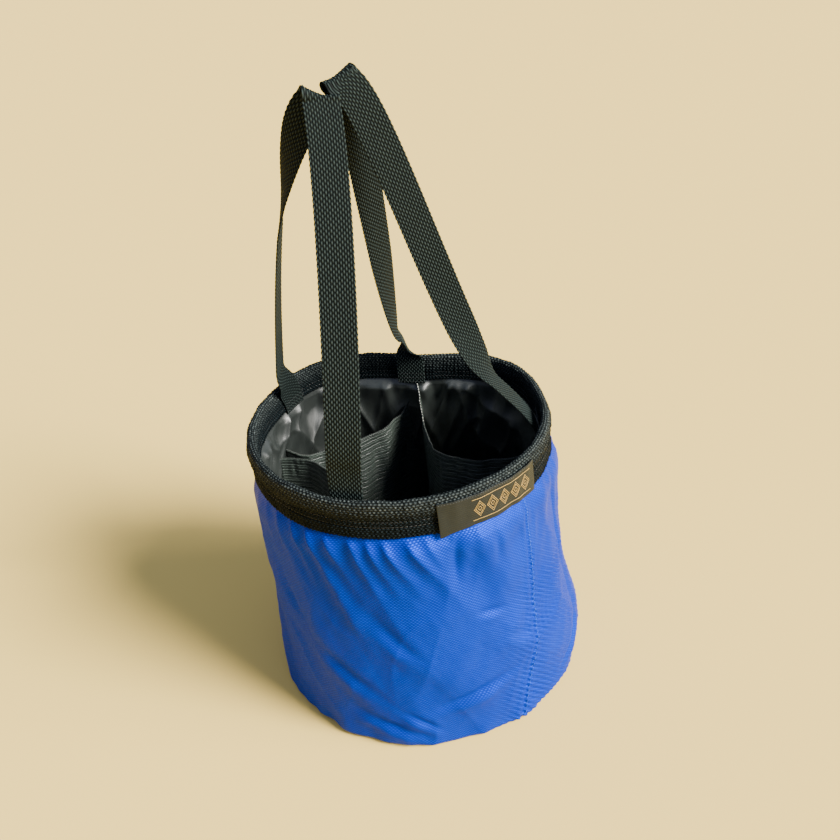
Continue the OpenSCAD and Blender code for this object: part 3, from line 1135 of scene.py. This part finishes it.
@dataclass
class Base:
    """The bottom of the bag: outside panel, board and floor lining."""

    shape: BagShape

    def disc(self, name: str, node: str, rise: float, seed: int) -> bpy.types.Object:
        """A round of cloth that fills a flat solid, with soft dimples and a turned edge.

        Args:
            name: The piece's name.
            node: The solid that it stands for.
            rise: How far the dimples lift its top.
            seed: Which dimples.

        Returns:
            The new piece.
        """
        low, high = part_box(node)
        radius, thick = (high.x - low.x) / 2, high.z - low.z
        noise = RingNoise(seed)
        reach = radius * np.sin(np.linspace(0.002, math.pi / 2, 46))
        deg = np.linspace(-180, 180, 144, endpoint=False)
        a, r = np.meshgrid(deg, reach)
        waves = noise.at(a, r, 18, 0.03) + 0.5 * noise.at(a + 400 * r, r, 36, 0.015)
        fade = smooth((radius - r) / 0.01) * smooth(r / 0.02)
        top = low.z + thick * (0.62 + 0.38 * smooth((radius - r) / 0.002)) + rise * fade * (0.5 + 0.5 * waves)
        upper = np.stack([r * np.cos(np.radians(a)), r * np.sin(np.radians(a)), top], axis=-1)
        lower = upper.copy()
        lower[..., 2] = low.z + thick * 0.38 * (1 - smooth((radius - r) / 0.002))
        section = np.concatenate([upper, lower[::-1]], axis=0)
        return sweep(name, np.swapaxes(section, 0, 1), closed=True)

    def build(self) -> None:
        """Makes the base's pieces."""
        panel = self.disc("base_cloth", "base_panel", 0.0, 31)
        finish_piece(panel, SHELL_NYLON.build(), ["base_panel"])
        floor = self.disc("floor_cloth", "floor_lining", 0.0012, 37)
        finish_piece(floor, LINING_NYLON.build(), ["floor_lining"])
        for piece in (panel, floor):
            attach(piece, "root")
        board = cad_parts["base_board"]
        board.data.materials.clear()
        board.data.materials.append(STIFF_BOARD.build())


# ---- rim -----------------------------------------------------------------------------------------


@dataclass
class Rim:
    """The webbing folded over the rim, with its stitching."""

    shape: BagShape
    columns: int = 1300
    stitch_drops: tuple[float, float] = (0.0160, 0.0205)
    stitch_drops_in: tuple[float, float] = (0.0165, 0.0205)
    rib_pitch: float = 0.0036
    row_pitch: float = 0.0019
    stitch_sink: float = 0.00015

    def profile(self) -> tuple[np.ndarray, np.ndarray]:
        """The showing line of the section.

        Returns:
            Set-in from the rim's outside and height, for each point from the outer edge over the roll to the
            inner edge.
        """
        shape = self.shape
        mid = shape.binding / 2
        roll = shape.height - mid
        up = np.concatenate([np.linspace(shape.band_low, shape.band_low + 0.0135, 22),
                             np.linspace(shape.band_low + 0.0148, roll, 9)])
        arc = np.linspace(0, math.pi, 13)[1:-1]
        down = np.linspace(roll, shape.height - shape.band_in, 15)
        over = mid - mid * np.cos(arc)
        set_in = np.concatenate([np.zeros(len(up)), over, np.full(len(down), shape.binding)])
        z = np.concatenate([up, roll + mid * np.sin(arc), down])
        return set_in, z

    def outward(self) -> np.ndarray:
        """Which way is out for each point of the profile: across and up."""
        set_in, z = self.profile()
        line = np.stack([-set_in, z], axis=1)
        along = unit(np.gradient(line, axis=0))
        return np.stack([along[:, 1], -along[:, 0]], axis=1)

    def relief(self, deg: np.ndarray, z: np.ndarray, inner: np.ndarray) -> np.ndarray:
        """Height of the webbing's ribs, edge bumps and stitch grooves."""
        shape = self.shape
        noise = RingNoise(41)
        arc = np.radians(deg) * shape.rim_radius
        turn = round(2 * math.pi * shape.rim_radius / self.rib_pitch)
        row = np.floor((z - shape.band_low) / self.row_pitch).astype(int)
        phase = np.radians(deg) * turn + 0.35 * noise.at(deg, z, 60, 0.02) * math.pi + 0.4 * row
        ribs = 0.5 + 0.5 * np.sin(phase)
        cross = 0.5 + 0.5 * np.cos(2 * math.pi * (z - shape.band_low) / self.row_pitch)
        rise = 0.00070 * ribs * (0.45 + 0.55 * cross) + 0.00035 * noise.at(arc * 1500, z, 360, 0.004)
        drops = np.where(inner, self.stitch_drops_in[0], self.stitch_drops[0])
        more = np.where(inner, self.stitch_drops_in[1], self.stitch_drops[1])
        for drop in (drops, more):
            rise -= 0.00085 * np.exp(-(((shape.height - z - drop) / 0.0009) ** 2))
        edge = np.where(inner, shape.height - shape.band_in, shape.band_low)
        rise += 0.00035 * np.exp(-(((z - edge - 0.0012) / 0.0009) ** 2)) * (0.6 + 0.4 * np.sin(phase * 0.5))
        swell = 0.0005 * noise.at(deg, z, 54, 0.012)
        puff = 0.0013 * np.exp(-(((shape.height - z - 0.0085) / 0.0050) ** 2)) * (~inner)
        return rise + swell + puff

    def build(self) -> None:
        """Makes the binding and its rows of stitches."""
        shape = self.shape
        set_in, z = self.profile()
        out = self.outward()
        deg = np.linspace(-180, 180, self.columns, endpoint=False)
        noise = RingNoise(43)
        a, s = np.meshgrid(deg, set_in)
        height = np.broadcast_to(z[:, None], a.shape).copy()
        inner = s > shape.binding * 0.75
        rise = self.relief(a, height, inner) - 0.0001
        above, level = height - shape.band_low, np.zeros_like(a)
        edge = np.exp(-(above / 0.006) ** 2) * (~inner)
        top = smooth((above - 0.02) / 0.01)
        sway = 0.0011 * noise.at(a, level, 26, 1.0) * edge + 0.0006 * noise.at(a, level, 44, 1.0) * top
        bell = 0.0009 * np.exp(-(above / 0.007) ** 2) * (~inner)
        flare = bell * (0.5 + 0.5 * noise.at(a, level, 30, 1.0))
        radius = shape.rim(a) - s + rise * out[:, 0][:, None] + flare
        height = height + rise * out[:, 1][:, None] + sway
        face = shape.point(a, radius, height)
        mid = shape.binding / 2
        bore = mid - shape.band_cloth
        arc = np.linspace(0, math.pi, 6)
        over_in, over_z = mid - bore * np.cos(arc), shape.height - mid + bore * np.sin(arc)
        hidden_in = np.concatenate([[shape.band_cloth], over_in, [shape.binding - shape.band_cloth]])
        hidden_z = np.concatenate([[shape.band_low], over_z, [shape.height - shape.band_in]])
        ha, hs = np.meshgrid(deg, hidden_in)
        hz = np.broadcast_to(hidden_z[:, None], ha.shape)
        hidden = shape.point(ha, shape.rim(ha) - hs, hz)
        section = np.concatenate([face, hidden[::-1]], axis=0)
        obj = sweep("rim_webbing", np.swapaxes(section, 0, 1), closed=True)
        finish_piece(obj, BINDING_WEBBING.build(), ["rim_binding"])
        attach(obj, "root")
        self.stitches()

    def stitches(self) -> None:
        """The stitch rows on both legs of the binding."""
        shape = self.shape
        deg = np.linspace(-180, 180, 900)
        outer, inner = shape.rim(deg) - self.stitch_sink, shape.rim(deg) - shape.binding + self.stitch_sink
        legs = ((outer, self.stitch_drops), (inner, self.stitch_drops_in))
        lines = [shape.point(deg, radius, shape.height - drop) for radius, drops in legs for drop in drops]
        ThreadRows(0.0032, 0.0025, 0.00026).sew("binding_thread", lines, BLACK_THREAD)


# ---- handles -------------------------------------------------------------------------------------


@dataclass
class Leg:
    """One leg of a handle.

    Attributes:
        angle: Where its end is sewn round the rim.
        route: The loop's start above the rim, then two points that bend it.
        keys: Share of the way up, compass angle of the width, and its tilt.
    """

    angle: float
    route: list[tuple[float, float, float]]
    keys: list[tuple[float, float, float]]


@dataclass
class Handle:
    """A handle of one length of webbing, from one sewn end over its fold to the other."""

    shape: BagShape
    name: str
    body: str
    apex: tuple[float, float, float]
    front: Leg
    back: Leg
    width: float = 0.0254
    tail: float = 0.027
    fold: float = 0.004
    yarns: int = 15
    row: float = 0.0019
    step: float = 0.00078
    sink: float = 0.00040
    crown: float = 0.00058
    tack_drops: tuple[float, ...] = (0.0075, 0.0165, 0.0205, 0.0245)

    def width_at(self, leg: Leg, t: np.ndarray) -> np.ndarray:
        """The direction of the width along a leg."""
        shares = [k[0] for k in leg.keys]
        a = np.radians(np.interp(t, shares, [k[1] for k in leg.keys]))
        tilt = np.radians(np.interp(t, shares, [k[2] for k in leg.keys]))
        return np.stack([np.cos(a) * np.cos(tilt), np.sin(a) * np.cos(tilt), np.sin(tilt)], axis=1)

    def root_line(self, leg: Leg) -> tuple[np.ndarray, np.ndarray]:
        """The sewn end and the free stretch above it: points and width directions, going up."""
        shape = self.shape
        route = np.array(leg.route)
        up = unit(route[1] - route[0])
        path = [shape.root(leg.angle, shape.height - self.tail), shape.root(leg.angle, shape.height - 0.008),
                route[0] - up * 0.014, route[0] - up * 0.0002]
        t = np.linspace(0, 1, 60)
        run = shape.root(leg.angle + 2, 0) - shape.root(leg.angle - 2, 0)
        first = math.degrees(math.atan2(run[1], run[0]))
        compass = np.radians(first + (leg.keys[0][1] - first) * smooth((t - 0.45) / 0.3))
        tilt = math.sin(math.radians(leg.keys[0][2])) * t
        return bezier(path, t), np.stack([np.cos(compass), np.sin(compass), tilt], axis=1)

    def centreline(self) -> tuple[np.ndarray, np.ndarray]:
        """The whole handle's line and width directions, at even steps."""
        apex, drop = np.array(self.apex), np.array([0, 0, -self.fold])
        flat = np.array(self.back.route[0]) - np.array(self.front.route[0])
        toward = unit(np.array([flat[0], flat[1], 0.0]))
        t = np.linspace(0, 1, 240)
        up = bezier([*self.front.route, apex - self.fold * toward + drop], t)
        down = bezier([*self.back.route, apex + self.fold * toward + drop], t)[::-1]
        turn = np.linspace(math.pi, 0, 15)[1:-1, None]
        over = apex + drop + self.fold * (toward * np.cos(turn) + np.array([0, 0, 1]) * np.sin(turn))
        wide_up, wide_down = self.width_at(self.front, t), self.width_at(self.back, t)[::-1]
        share = np.linspace(0, 1, len(over))[:, None]
        wide_over = wide_up[-1] * (1 - share) + wide_down[0] * share
        root_up, root_wide_up = self.root_line(self.front)
        root_down, root_wide_down = self.root_line(self.back)
        line = np.concatenate([root_up, up, over, down, root_down[::-1]])
        wide = np.concatenate([root_wide_up, wide_up, wide_over, wide_down, root_wide_down[::-1]])
        far = run_length(line)
        keep = np.concatenate([[True], np.diff(far) > 1e-6])
        even = np.arange(0, far[-1], self.step)
        line, wide = (
            soften(np.stack([np.interp(even, far[keep], values[keep, k]) for k in range(3)], axis=1), reach)
            for values, reach in ((line, 3), (wide, 9))
        )
        along = unit(np.gradient(line, axis=0))
        wide = unit(wide - (wide * along).sum(1, keepdims=True) * along)
        return line, wide

    def relief(self, across: np.ndarray, along: np.ndarray) -> np.ndarray:
        """Height of the weave, from 0 in the pits to 1 on the crowns."""
        yarn = (across / self.width + 0.5) * self.yarns
        odd = np.floor(yarn) % 2
        rib = 1 - (2 * (yarn - np.floor(yarn)) - 1) ** 2
        crown = 0.5 + 0.5 * np.cos(np.pi * (along / self.row + odd))
        return rib * (0.3 + 0.7 * crown)

    def build(self) -> bpy.types.Object:
        """Makes the webbing, which bends where it leaves the rim."""
        line, wide = self.centreline()
        along = unit(np.gradient(line, axis=0))
        face = np.cross(wide, along)
        far = run_length(line)
        count = 4 * self.yarns
        across = (np.arange(count) + 0.5) / count * self.width - self.width / 2
        s, d = np.meshgrid(across, far)
        edge = np.sqrt(np.clip(1 - np.abs(2 * s / self.width) ** 10, 0.05, 1))
        noise = RingNoise(sum(map(ord, self.name)))
        cup = 0.0007 * noise.at(d * 360, s * 0, 9, 1.0) * (1 - (2 * s / self.width) ** 2)
        loops = 0.00022 * np.sin(np.pi * d / self.row) * (np.abs(s) > self.width / 2 - 0.0009) * np.sign(s)
        half = self.shape.strap_cloth / 2
        sides = []
        for sign in (1, -1):
            crowns = self.relief(s, d + (0.5 - sign / 2) * self.row)
            lift = sign * (half - self.sink + self.crown * crowns) * edge + cup
            sideways = wide[:, None, :] * (s + loops)[..., None]
            sides.append(line[:, None, :] + sideways + face[:, None, :] * lift[..., None])
        section = np.concatenate([sides[0], sides[1][:, ::-1]], axis=1)
        obj = sweep(self.name, section, closed=False)
        side = self.body.removesuffix("_handle")
        nodes = [f"handle_{side}_loop", f"handle_{side}_root_front", f"handle_{side}_root_back"]
        self.lay_cloth(obj, s, d)
        finish_piece(obj, HANDLE_WEBBING.build(), nodes)
        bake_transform(obj)
        return obj

    def lay_cloth(self, obj: bpy.types.Object, s: np.ndarray, d: np.ndarray) -> None:
        """Sets the texture places so that the finish's yarns lie on the modelled ones."""
        front = np.stack([d, s + self.width / 2], axis=-1)
        back = np.stack([d + self.row, s + self.width / 2], axis=-1)
        places = np.concatenate([front, back[:, ::-1]], axis=1).reshape(-1, 2)
        corners = np.zeros(len(obj.data.loops), np.int32)
        obj.data.loops.foreach_get("vertex_index", corners)
        obj.data.uv_layers[UV_NAME].data.foreach_set("uv", places[corners].astype(np.float32).ravel())

    def tacks(self) -> list[np.ndarray]:
        """Lines of stitches that hold both ends inside the rim."""
        shape, lines = self.shape, []
        for leg in (self.front, self.back):
            run = unit(shape.root(leg.angle + 2, 0) - shape.root(leg.angle - 2, 0))
            inward = np.array([-run[1], run[0], 0.0])
            proud = inward * (shape.strap_cloth / 2 + 0.0001)
            for drop in self.tack_drops:
                middle = shape.root(leg.angle, shape.height - drop) + proud
                lines.append(middle + np.linspace(-0.0118, 0.0118, 14)[:, None] * run)
        return lines


# ---- pockets -------------------------------------------------------------------------------------


@dataclass
class Pocket:
    """A cloth panel that stands off the lining between two seams.

    Attributes:
        shape: The bag.
        name: The piece's name.
        node: The solid that it stands for.
        seams: The angles of its two seams.
        full: Two places over the floor that pull its plan inwards.
        flat: Its length and height when flat; not used.
        top: Height of its top edge.
        cloth: Its thickness.
        rib: Distance from rib to rib.
        dip: How far the top edge sags in its middle.
        climb: How much higher the top edge runs at one end.
        climb_end: Which end that is, 0 or 1.
        climb_reach: How far along that goes.
        seed: Which folds.
    """

    shape: BagShape
    name: str
    node: str
    seams: tuple[float, float]
    full: tuple[tuple[float, float], tuple[float, float]]
    flat: tuple[float, float]
    top: float = 0.181
    cloth: float = 0.0008
    rib: float = 0.0029
    dip: float = 0.002
    climb: float = 0.0
    climb_end: float = 1.0
    climb_reach: float = 0.2
    seed: int = 51

    def plan(self, share: np.ndarray, z: np.ndarray) -> np.ndarray:
        """The panel's middle surface, before its folds.

        Args:
            share: Share of the way along, from 0 to 1.
            z: Heights, of the same shape.

        Returns:
            The points.
        """
        shape = self.shape
        spread = 1 + 0.1 * (1 - z / self.top)
        ends = [shape.point(np.full_like(z, deg), shape.wall(np.array(deg), z) - shape.stack - 0.0006, z)
                for deg in self.seams]
        inner = [np.stack([p[0] * spread, p[1] * spread, z], axis=-1) for p in self.full]
        t = share[..., None]
        return ((1 - t) ** 3 * ends[0] + 3 * t * (1 - t) ** 2 * inner[0] + 3 * t * t * (1 - t) * inner[1]
                + t**3 * ends[1])

    def build(self) -> bpy.types.Object:
        """Makes the panel, ribbed across, with folds that hang from its edge."""
        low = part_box(self.node)[0].z
        noise = RingNoise(self.seed)
        s, f = np.meshgrid(np.linspace(0, 1, 84), np.linspace(0, 1, 270))
        ends = smooth(s / 0.08) * smooth((1 - s) / 0.08)
        climb = self.climb * smooth(1 - np.abs(s - self.climb_end) / self.climb_reach)
        sag = -self.dip * np.sin(math.pi * s) ** 2 + 0.0012 * noise.at(s * 360, f * 0, 9, 1.0) * ends
        z = low + (self.top + climb + sag - low) * f
        middle = self.plan(s, z)
        along = unit(np.gradient(middle, axis=1))
        side = np.stack([-along[..., 1], along[..., 0], np.zeros(along.shape[:2])], axis=-1)
        wave = 0.0034 * noise.at(s * 360, z * 0.35, 7, 0.05) * f
        wave += 0.0018 * noise.at(s * 360 + 70 * f, z, 15, 0.05)
        wave += 0.0006 * noise.at(s * 360, z, 40, 0.012)
        ribs = 0.00030 * np.cos(2 * math.pi * z / self.rib + 0.5 * noise.at(s * 360, z, 12, 0.03))
        middle = middle + side * (wave * ends)[..., None]
        hem = 0.0004 * np.exp(-(((1 - f) * self.top / 0.0022) ** 2))
        half = (self.cloth / 2 + hem + ribs)[..., None]
        section = np.concatenate([middle + side * half, (middle - side * half)[::-1]], axis=0)
        obj = sweep(self.name, np.swapaxes(section, 0, 1), closed=False)
        finish_piece(obj, POCKET_CLOTH.build(), [self.node])
        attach(obj, "root")
        self.edge = middle[-1] + np.array([0, 0, 0.0002])
        self.seam_lines = [middle[:, 0] + side[:, 0] * 0.0006, middle[:, -1] + side[:, -1] * 0.0006]
        return obj


# ---- label ---------------------------------------------------------------------------------------


@dataclass
class Label:
    """The woven label on the rim, with a plain gold pattern of its own."""

    shape: BagShape
    ends: tuple[float, float] = (-79.0, -38.0)
    low_edge: float = -0.0005
    tall: float = 0.0265
    cloth: float = 0.0005
    stand: float = 0.0018
    lozenges: int = 5
    pattern_run: tuple[float, float] = (0.30, 0.93)

    def surface(self, share: np.ndarray, up: np.ndarray, lift: float = 0.0) -> np.ndarray:
        """Points on the label's face.

        Args:
            share: Share of the way along, from 0 to 1.
            up: Share of the way up, from 0 to 1.
            lift: Distance in front of the cloth.

        Returns:
            The points.
        """
        noise = RingNoise(61)
        shape = self.shape
        deg = self.ends[0] + (self.ends[1] - self.ends[0]) * share
        left = np.exp(-((share / 0.10) ** 2))
        wave = 0.0006 * noise.at(share * 360, up * 0.02, 6, 0.02)
        wave += 0.0004 * noise.at(share * 360, up * 0.02, 13, 0.01)
        stand = self.stand + self.cloth + 0.0009 * left * (1 - up) + wave + 0.0003 * (1 - up)
        z = shape.band_low + self.low_edge + self.tall * up - 0.0020 * left * (1 - up)
        return shape.point(deg, shape.rim(deg) + stand + lift, z)

    def build(self) -> None:
        """Makes the label, its edge stitching and its gold pattern."""
        share, up = np.meshgrid(np.linspace(0, 1, 150), np.linspace(0, 1, 60))
        wefts = 0.00008 * np.cos(2 * math.pi * up * 44)
        face = self.surface(share, up)
        out = unit(face - np.stack([np.zeros_like(share), np.zeros_like(share), face[..., 2]], -1))
        face = face + out * wefts[..., None]
        thick = self.cloth + 0.0007 * np.exp(-((share / 0.06) ** 2))
        back = face - out * thick[..., None]
        section = np.concatenate([face, back[::-1]], axis=0)
        obj = sweep("label", np.swapaxes(section, 0, 1), closed=False)
        finish_piece(obj, LABEL_SATIN.build(), ["label"])
        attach(obj, "root")
        t = np.linspace(0.015, 0.985, 120)
        top = self.surface(t, np.full_like(t, 0.955), 0.0001)
        ThreadRows(0.0021, 0.0015, 0.00016).sew("label_edge_thread", [top], DULL_THREAD)
        self.pattern()

    def pattern(self) -> None:
        """A plain gold pattern: a chain of lozenges between two lines."""
        lift = 0.0001
        start, end = self.pattern_run
        along = np.linspace(start, end, 90)
        lines = [self.surface(along, np.full_like(along, height), lift) for height in (0.15, 0.84)]
        corners = np.array([(-1, 0), (0, 1), (1, 0), (0, -1), (-1, 0)], float)
        ring = np.stack([np.interp(np.linspace(0, 4, 45), range(5), corners[:, k]) for k in range(2)], axis=1)
        width = (end - start) / self.lozenges
        for k in range(self.lozenges):
            middle = start + width * (k + 0.5)
            for size in (1.0, 0.72, 0.3):
                x, y = size * ring[:, 0], size * ring[:, 1]
                lines.append(self.surface(middle + 0.42 * width * x, 0.50 + 0.25 * y, lift))
        ThreadRows(0.0009, 0.0010, 0.00022).sew("label_gold_thread", lines, GOLD_THREAD)


# ---- stage ---------------------------------------------------------------------------------------


@dataclass(frozen=True)
class Viewpoint:
    """The camera: where it is, how far it looks down and how far it leans, in metres and degrees."""

    place: tuple[float, float, float] = (0.00971, -0.59324, 0.59470)
    down: float = 31.52
    roll: float = -5.09
    lens: float = 36.906

    def build(self) -> None:
        """Makes the camera."""
        e, r = math.radians(self.down), math.radians(self.roll)
        right, ahead = Vector((1, 0, 0)), Vector((0, math.cos(e), -math.sin(e)))
        above = right.cross(ahead)
        side = math.cos(r) * right + math.sin(r) * above
        top = -math.sin(r) * right + math.cos(r) * above
        data = bpy.data.cameras.new("camera")
        data.lens, data.sensor_width = self.lens, 36.0
        data.clip_start, data.clip_end = 0.01, 200.0
        camera = bpy.data.objects.new("camera", data)
        turned = Matrix((side, top, -ahead)).transposed().to_4x4()
        camera.matrix_world = Matrix.Translation(self.place) @ turned
        bpy.context.scene.collection.objects.link(camera)
        bpy.context.scene.camera = camera


@dataclass(frozen=True)
class Lamp:
    """A soft sun: its direction as compass and height in degrees, its strength, its spread and its colour."""

    name: str
    compass: float
    height: float
    strength: float
    spread: float
    colour: Colour

    def build(self) -> None:
        """Makes the lamp."""
        data = bpy.data.lights.new(self.name, "SUN")
        data.energy, data.angle, data.color = self.strength, math.radians(self.spread), self.colour
        lamp = bpy.data.objects.new(self.name, data)
        a, e = math.radians(self.compass), math.radians(self.height)
        toward = Vector((math.cos(a) * math.cos(e), math.sin(a) * math.cos(e), math.sin(e)))
        lamp.matrix_world = toward.to_track_quat("Z", "Y").to_matrix().to_4x4()
        bpy.context.scene.collection.objects.link(lamp)


@dataclass(frozen=True)
class Studio:
    """The floor and the soft light round the bag."""

    floor_colour: Colour = (0.880, 0.618, 0.166)
    sky_colour: Colour = (0.84, 0.98, 1.40)
    sky_strength: float = 0.44

    def build(self) -> None:
        """Makes the floor, the sky and the lamps."""
        reach = 60.0
        corners = np.array([[-reach, -reach, 0], [reach, -reach, 0], [reach, reach, 0], [-reach, reach, 0]])
        floor = new_object("studio_floor", corners, np.array([[0, 1, 2, 3]]))
        material = bpy.data.materials.new("Studio paper")
        material.use_nodes = True
        shader = material.node_tree.nodes["Principled BSDF"]
        shader.inputs["Base Color"].default_value = rgba(self.floor_colour)
        shader.inputs["Roughness"].default_value = 0.95
        shader.inputs["Specular IOR Level"].default_value = 0.1
        floor.data.materials.append(material)
        world = bpy.data.worlds.new("studio")
        world.use_nodes = True
        back = world.node_tree.nodes["Background"]
        back.inputs["Color"].default_value = rgba(self.sky_colour)
        back.inputs["Strength"].default_value = self.sky_strength
        bpy.context.scene.world = world
        Lamp("key_light", -30, 39, 8.2, 22, (1.03, 1.0, 0.93)).build()
        Lamp("low_light", -24, 22, 6.0, 42, (1.03, 1.0, 0.93)).build()


# ---- the whole bag -------------------------------------------------------------------------------


def handles(shape: BagShape) -> list[Handle]:
    """The two handles, each from its front end to its back end."""
    left = Handle(
        shape,
        name="handle_left_webbing",
        body="left_handle",
        apex=(-0.037, -0.006, 0.488),
        front=Leg(
            angle=-110,
            route=[(-0.045, -0.106, 0.265), (-0.041, -0.114, 0.302), (-0.031, -0.036, 0.434)],
            keys=[(0, -14, 0), (0.3, -10, -4), (0.8, -4, -16), (1, 0, -26)],
        ),
        back=Leg(
            angle=142,
            route=[(-0.103, 0.049, 0.265), (-0.096, 0.051, 0.323), (-0.070, -0.012, 0.469)],
            keys=[
                (0, -98, 0), (0.25, -95, 0), (0.5, -92, 0), (0.6, -80, -3),
                (0.75, -48, -10), (0.88, -18, -20), (1, 0, -26),
            ],
        ),
    )
    right = Handle(
        shape,
        name="handle_right_webbing",
        body="right_handle",
        apex=(-0.024, 0.010, 0.496),
        front=Leg(
            angle=-5,
            route=[(0.070, -0.006, 0.265), (0.042, 0.004, 0.296), (-0.002, 0.009, 0.486)],
            keys=[
                (0, 84, 0), (0.06, 70, 4), (0.13, 48, 12), (0.25, 24, 22),
                (0.4, 16, 26), (0.8, 20, 28), (1, 32, 25),
            ],
        ),
        back=Leg(
            angle=82,
            route=[(-0.002, 0.089, 0.265), (-0.010, 0.088, 0.276), (-0.011, 0.008, 0.486)],
            keys=[
                (0, 97, 0), (0.1, 81, 3), (0.2, 71, 6), (0.3, 59, 11),
                (0.4, 46, 16), (0.6, 32, 22), (1, 32, 25),
            ],
        ),
    )
    return [left, right]


def pockets(shape: BagShape) -> list[Pocket]:
    """The four inside pockets."""
    return [
        Pocket(
            shape, "pocket_cloth_back_left", "pocket_back_left", (82.2, 153),
            full=((-0.024, 0.088), (-0.072, 0.016)), flat=(0.150, 0.182),
            climb=0.022, climb_end=0.0, climb_reach=0.16, seed=51,
        ),
        Pocket(
            shape, "pocket_cloth_front_left", "pocket_front_left", (160, 244),
            full=((-0.068, 0.052), (-0.054, -0.034)), flat=(0.178, 0.182), seed=52,
        ),
        Pocket(
            shape, "pocket_cloth_front", "pocket_front", (246, 362.5),
            full=((-0.026, -0.062), (0.060, -0.056)), flat=(0.192, 0.182), seed=53,
        ),
        Pocket(
            shape, "pocket_cloth_right", "pocket_right", (365.5, 439.8),
            full=((0.030, -0.004), (0.002, 0.030)), flat=(0.190, 0.182),
            climb=0.034, climb_reach=0.24, seed=54,
        ),
    ]


def main() -> None:
    """Builds the bag piece by piece, then its stage."""
    logging.basicConfig(level=logging.INFO, format="%(name)s %(message)s")
    shape = BagShape(height=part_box("rim_binding")[0].z + BagShape.band_out)
    Viewpoint().build()
    Base(shape).build()
    Wall(shape).build()
    Rim(shape).build()
    tacks = []
    for handle in handles(shape):
        handle.build()
        tacks += handle.tacks()
    ThreadRows(0.0026, 0.0021, 0.00026).sew("handle_tack_thread", tacks, BLACK_THREAD)
    edges, seams = [], []
    for pocket in pockets(shape):
        pocket.build()
        edges.append(pocket.edge)
        seams += pocket.seam_lines
    ThreadRows(0.0020, 0.0022, 0.00030, 38).sew("pocket_edge_thread", edges, DULL_THREAD)
    corner = edges[-1][-15:]
    ThreadRows(0.0026, 0.0024, 0.00042, 38).sew("pocket_corner_thread", [corner], PALE_THREAD)
    ThreadRows(0.0028, 0.0022, 0.00022).sew("pocket_seam_thread", seams, BLACK_THREAD)
    Label(shape).build()
    Studio().build()


if __name__ == "__main__":
    main()
